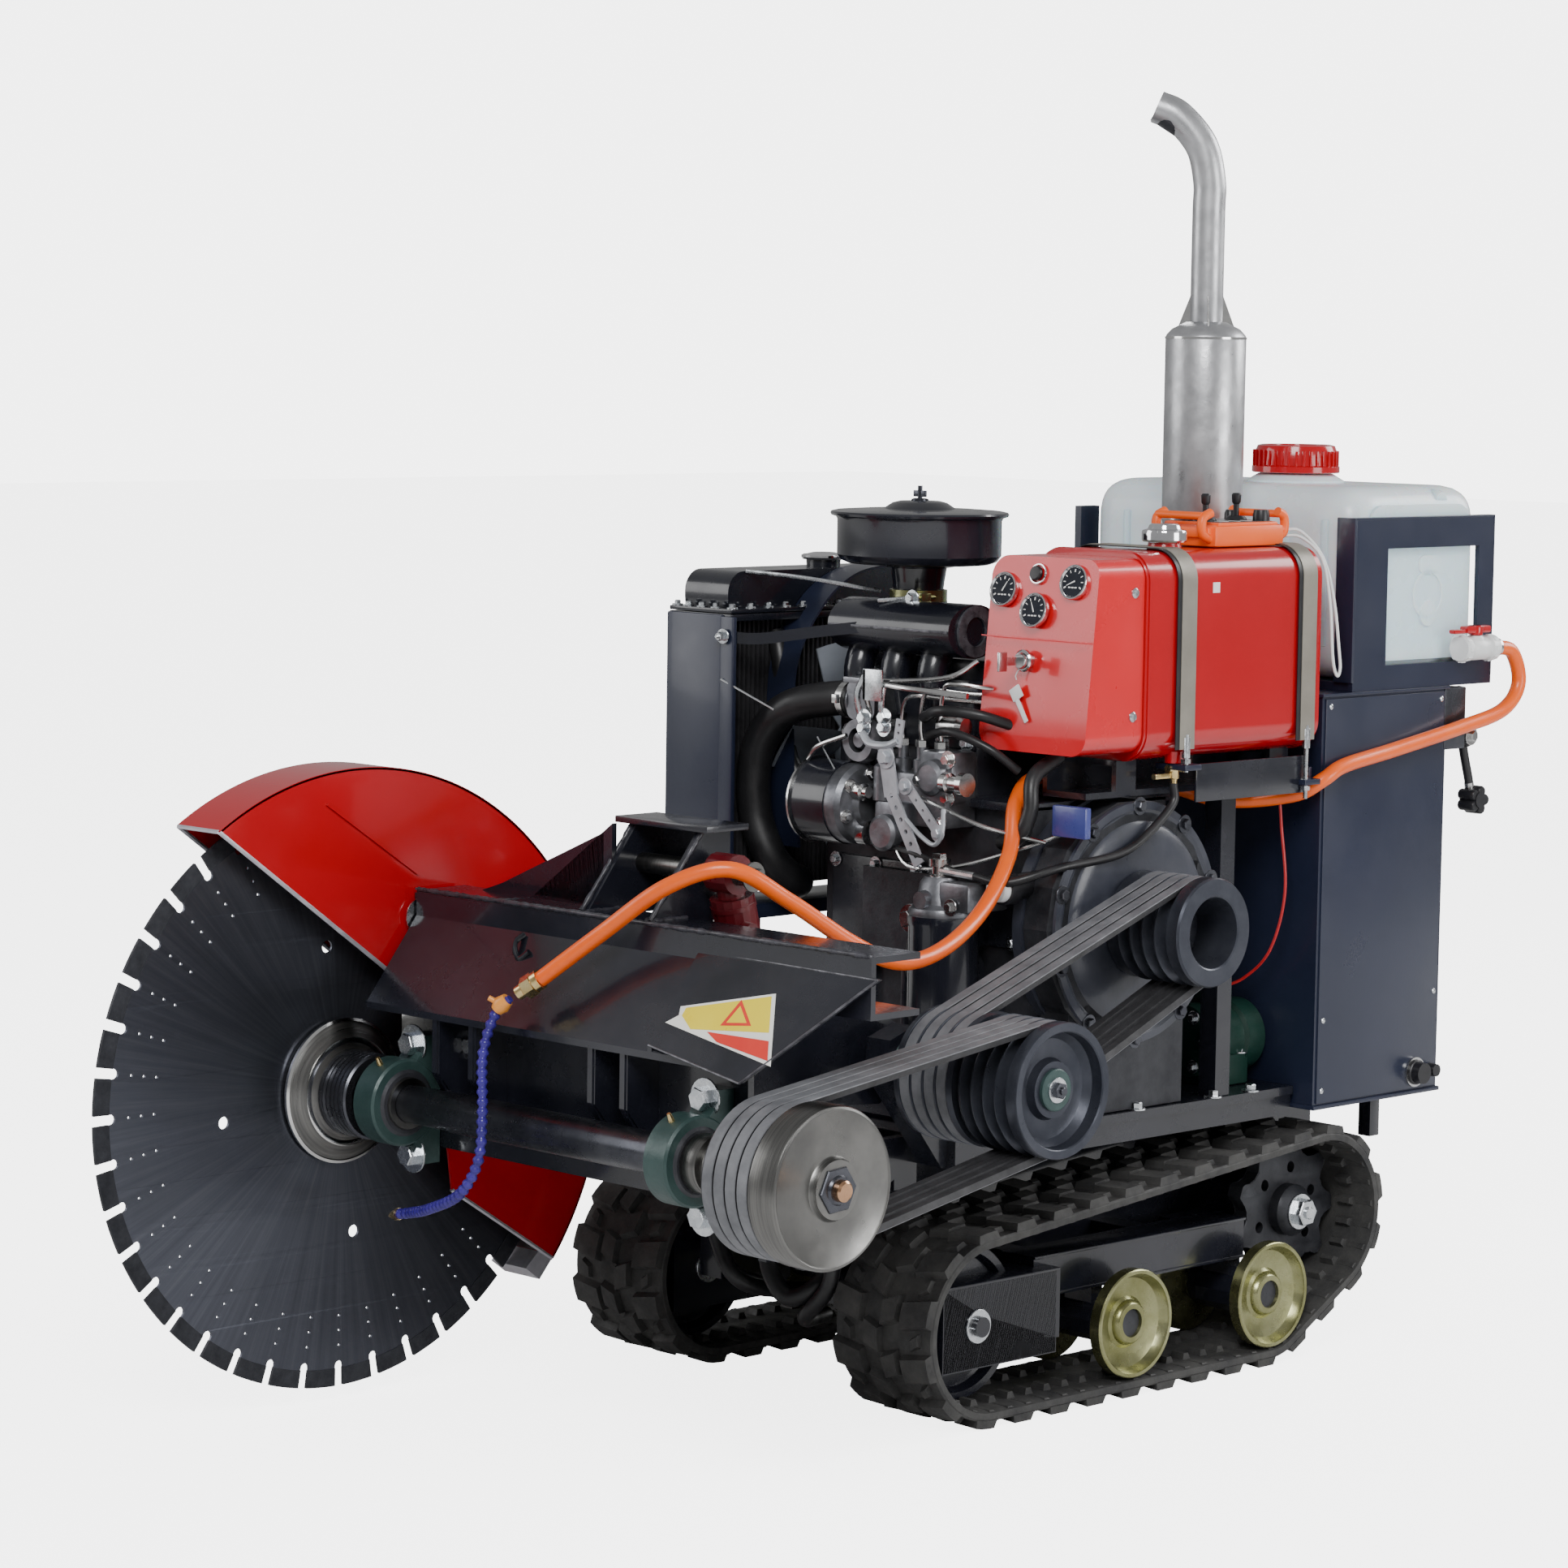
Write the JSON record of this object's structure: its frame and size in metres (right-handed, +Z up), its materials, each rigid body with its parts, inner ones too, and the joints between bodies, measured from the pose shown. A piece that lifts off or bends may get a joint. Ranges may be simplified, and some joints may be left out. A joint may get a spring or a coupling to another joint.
{
  "type": "walk-behind concrete saw",
  "caption": "Walk-behind concrete saw on rubber tracks: a diesel engine belt-drives a guarded diamond blade on a lifting front arm, with water and fuel tanks and a rear cabinet.",
  "frame": {"origin": "on the ground, at the centre of the bounding box in plan", "axes": "+Y from the blade to the rear operator end, +X towards the drive pulleys, +Z up"},
  "size_m": [0.998, 2.0157, 1.7756],
  "materials": {
    "rubber": "moulded, dusty",
    "gloss_black": "gloss black paint",
    "navy": "semi-gloss blue-black paint",
    "red": "gloss red paint",
    "dark_red": "dark red paint",
    "belt": "worn fabric-backed rubber",
    "iron": "dark casting",
    "steel": "turned",
    "dark_steel": "dark brushed",
    "zinc": "yellow zinc plated",
    "aluminium": "cast",
    "casting_green": "grey-green painted casting",
    "plastic_black": "satin black",
    "orange": "smooth orange hose",
    "orange_case": "satin orange",
    "purple": "satin blue-purple",
    "tank_white": "translucent white",
    "red_plastic": "gloss red",
    "chrome": "polished",
    "exhaust": "heat-resistant silver"
  },
  "bodies": {
    "chassis": {"main_frame": "navy", "left_track": "rubber", "right_track": "rubber", "left_track_frame": "gloss_black", "right_track_frame": "gloss_black", "engine_block": "iron", "cylinder_head": "aluminium", "flywheel_housing": "iron", "air_filter": "plastic_black", "injection_pump": "aluminium", "oil_filter": "plastic_black", "alternator": "aluminium", "radiator": "navy", "radiator_hose": "rubber", "muffler": "exhaust", "fuel_tank": "red", "instrument_panel": "red", "fuel_tank_bracket": "navy", "rear_cabinet": "navy", "water_tank": "tank_white", "water_tank_frame": "navy", "water_valve": "tank_white", "hydraulic_pump": "casting_green", "engine_belts": "belt", "water_hose_rear": "orange"},
    "crank": {"crank_pulley": "iron"},
    "fan": {"cooling_fan": "plastic_black"},
    "jackshaft": {"jackshaft": "steel", "jackshaft_pulley": "iron"},
    "arm": {"arm_frame": "gloss_black", "blade_guard": "red", "left_axle_bearing": "casting_green", "right_axle_bearing": "casting_green", "axle_belts": "belt", "water_hose_front": "orange", "spray_nozzle": "purple"},
    "axle": {"axle_shaft": "dark_steel", "axle_pulley": "steel", "blade": "dark_steel", "blade_flange": "steel"},
    "lift_barrel": {"lift_barrel": "dark_red"},
    "lift_rod": {"lift_rod": "chrome"},
    "left_sprocket": {"left_sprocket": "iron"},
    "left_idler": {"left_idler": "dark_steel"},
    "left_roller_1": {"left_roller_1": "zinc"},
    "left_roller_2": {"left_roller_2": "zinc"},
    "right_sprocket": {"right_sprocket": "iron"},
    "right_idler": {"right_idler": "dark_steel"},
    "right_roller_1": {"right_roller_1": "zinc"},
    "right_roller_2": {"right_roller_2": "zinc"},
    "water_valve_handle": {"water_valve_handle": "red_plastic"},
    "petcock_lever": {"petcock_lever": "chrome"},
    "ignition_key": {"ignition_key": "chrome"},
    "start_button": {"start_button": "chrome"},
    "rear_lever": {"rear_lever": "plastic_black"},
    "remote_control": {"remote_control": "orange_case"},
    "joystick_left": {"joystick_left": "plastic_black"},
    "joystick_right": {"joystick_right": "plastic_black"},
    "water_tank_cap": {"water_tank_cap": "red_plastic"},
    "fuel_cap": {"fuel_cap": "chrome"}
  },
  "joints": [
    {"name": "crank_spin", "type": "hinge", "parent": "chassis", "child": "crank", "pos_m": [0.247, 0.229, 0.645], "axis": [1, 0, 0], "continuous": true},
    {"name": "fan_spin", "type": "hinge", "parent": "chassis", "child": "fan", "pos_m": [-0.333, 0.227, 0.845], "axis": [1, 0, 0], "continuous": true},
    {"name": "jackshaft_spin", "type": "hinge", "parent": "chassis", "child": "jackshaft", "pos_m": [0.047, -0.174, 0.488], "axis": [1, 0, 0], "continuous": true},
    {"name": "arm_lift", "type": "hinge", "parent": "chassis", "child": "arm", "pos_m": [-0.063, -0.174, 0.488], "axis": [-1, 0, 0], "range_deg": [-9, 22]},
    {"name": "axle_spin", "type": "hinge", "parent": "arm", "child": "axle", "pos_m": [-0.053, -0.608, 0.42], "axis": [1, 0, 0], "continuous": true},
    {"name": "lift_barrel_swing", "type": "hinge", "parent": "arm", "child": "lift_barrel", "pos_m": [0.079, -0.408, 0.745], "axis": [-1, 0, 0], "range_deg": [-12, 6]},
    {"name": "lift_rod_slide", "type": "slide", "parent": "lift_barrel", "child": "lift_rod", "axis": [0, 0.2516, -0.9678], "range_m": [-0.03, 0.06]},
    {"name": "left_sprocket_spin", "type": "hinge", "parent": "chassis", "child": "left_sprocket", "pos_m": [0.147, 0.621, 0.198], "axis": [1, 0, 0], "continuous": true},
    {"name": "left_idler_spin", "type": "hinge", "parent": "chassis", "child": "left_idler", "pos_m": [0.147, -0.062, 0.132], "axis": [1, 0, 0], "continuous": true},
    {"name": "left_roller_1_spin", "type": "hinge", "parent": "chassis", "child": "left_roller_1", "pos_m": [0.147, 0.22, 0.1], "axis": [1, 0, 0], "continuous": true},
    {"name": "left_roller_2_spin", "type": "hinge", "parent": "chassis", "child": "left_roller_2", "pos_m": [0.147, 0.51, 0.1], "axis": [1, 0, 0], "continuous": true},
    {"name": "right_sprocket_spin", "type": "hinge", "parent": "chassis", "child": "right_sprocket", "pos_m": [-0.363, 0.621, 0.198], "axis": [1, 0, 0], "continuous": true},
    {"name": "right_idler_spin", "type": "hinge", "parent": "chassis", "child": "right_idler", "pos_m": [-0.363, -0.062, 0.132], "axis": [1, 0, 0], "continuous": true},
    {"name": "right_roller_1_spin", "type": "hinge", "parent": "chassis", "child": "right_roller_1", "pos_m": [-0.363, 0.22, 0.1], "axis": [1, 0, 0], "continuous": true},
    {"name": "right_roller_2_spin", "type": "hinge", "parent": "chassis", "child": "right_roller_2", "pos_m": [-0.363, 0.51, 0.1], "axis": [1, 0, 0], "continuous": true},
    {"name": "water_valve_turn", "type": "hinge", "parent": "chassis", "child": "water_valve_handle", "pos_m": [0.259, 0.897, 1.018], "axis": [0, 0, 1], "range_deg": [0, 90]},
    {"name": "petcock_turn", "type": "hinge", "parent": "chassis", "child": "petcock_lever", "pos_m": [0.225, 0.282, 0.843], "axis": [0, 0, 1], "range_deg": [0, 90]},
    {"name": "ignition_turn", "type": "hinge", "parent": "chassis", "child": "ignition_key", "pos_m": [0.13, 0.092, 1], "axis": [0, 1, 0], "range_deg": [0, 70]},
    {"name": "start_press", "type": "slide", "parent": "chassis", "child": "start_button", "axis": [0, 1, 0], "range_m": [0, 0.004], "stiffness_N_per_m": 600},
    {"name": "rear_lever_swing", "type": "hinge", "parent": "chassis", "child": "rear_lever", "pos_m": [0.215, 0.922, 0.865], "axis": [1, 0, 0], "range_deg": [-15, 35]},
    {"name": "remote_lift_off", "type": "slide", "parent": "chassis", "child": "remote_control", "axis": [0, 0, 1], "range_m": [0, 0.1]},
    {"name": "joystick_left_tilt", "type": "hinge", "parent": "remote_control", "child": "joystick_left", "pos_m": [0.152, 0.422, 1.1815], "axis": [0, 1, 0], "range_deg": [-20, 20], "stiffness_Nm_per_rad": 0.08},
    {"name": "joystick_right_tilt", "type": "hinge", "parent": "remote_control", "child": "joystick_right", "pos_m": [0.152, 0.487, 1.1815], "axis": [0, 1, 0], "range_deg": [-20, 20], "stiffness_Nm_per_rad": 0.08},
    {"name": "water_tank_cap_lift", "type": "slide", "parent": "chassis", "child": "water_tank_cap", "axis": [0, 0, 1], "range_m": [0, 0.05]},
    {"name": "fuel_cap_lift", "type": "slide", "parent": "chassis", "child": "fuel_cap", "axis": [0, 0, 1], "range_m": [0, 0.05]}
  ],
  "couplings": [
    {"joint": "fan_spin", "follows": "crank_spin", "ratio": 1.1},
    {"joint": "jackshaft_spin", "follows": "crank_spin", "ratio": 0.8395},
    {"joint": "axle_spin", "follows": "crank_spin", "ratio": 0.7312},
    {"joint": "lift_barrel_swing", "follows": "arm_lift", "ratio": -0.4112},
    {"joint": "lift_rod_slide", "follows": "arm_lift", "m_per_rad": 0.1447},
    {"joint": "left_idler_spin", "follows": "left_sprocket_spin", "ratio": 0.9816},
    {"joint": "left_roller_1_spin", "follows": "left_sprocket_spin", "ratio": 1.3922},
    {"joint": "left_roller_2_spin", "follows": "left_sprocket_spin", "ratio": 1.3922},
    {"joint": "right_idler_spin", "follows": "right_sprocket_spin", "ratio": 0.9816},
    {"joint": "right_roller_1_spin", "follows": "right_sprocket_spin", "ratio": 1.3922},
    {"joint": "right_roller_2_spin", "follows": "right_sprocket_spin", "ratio": 1.3922}
  ]
}
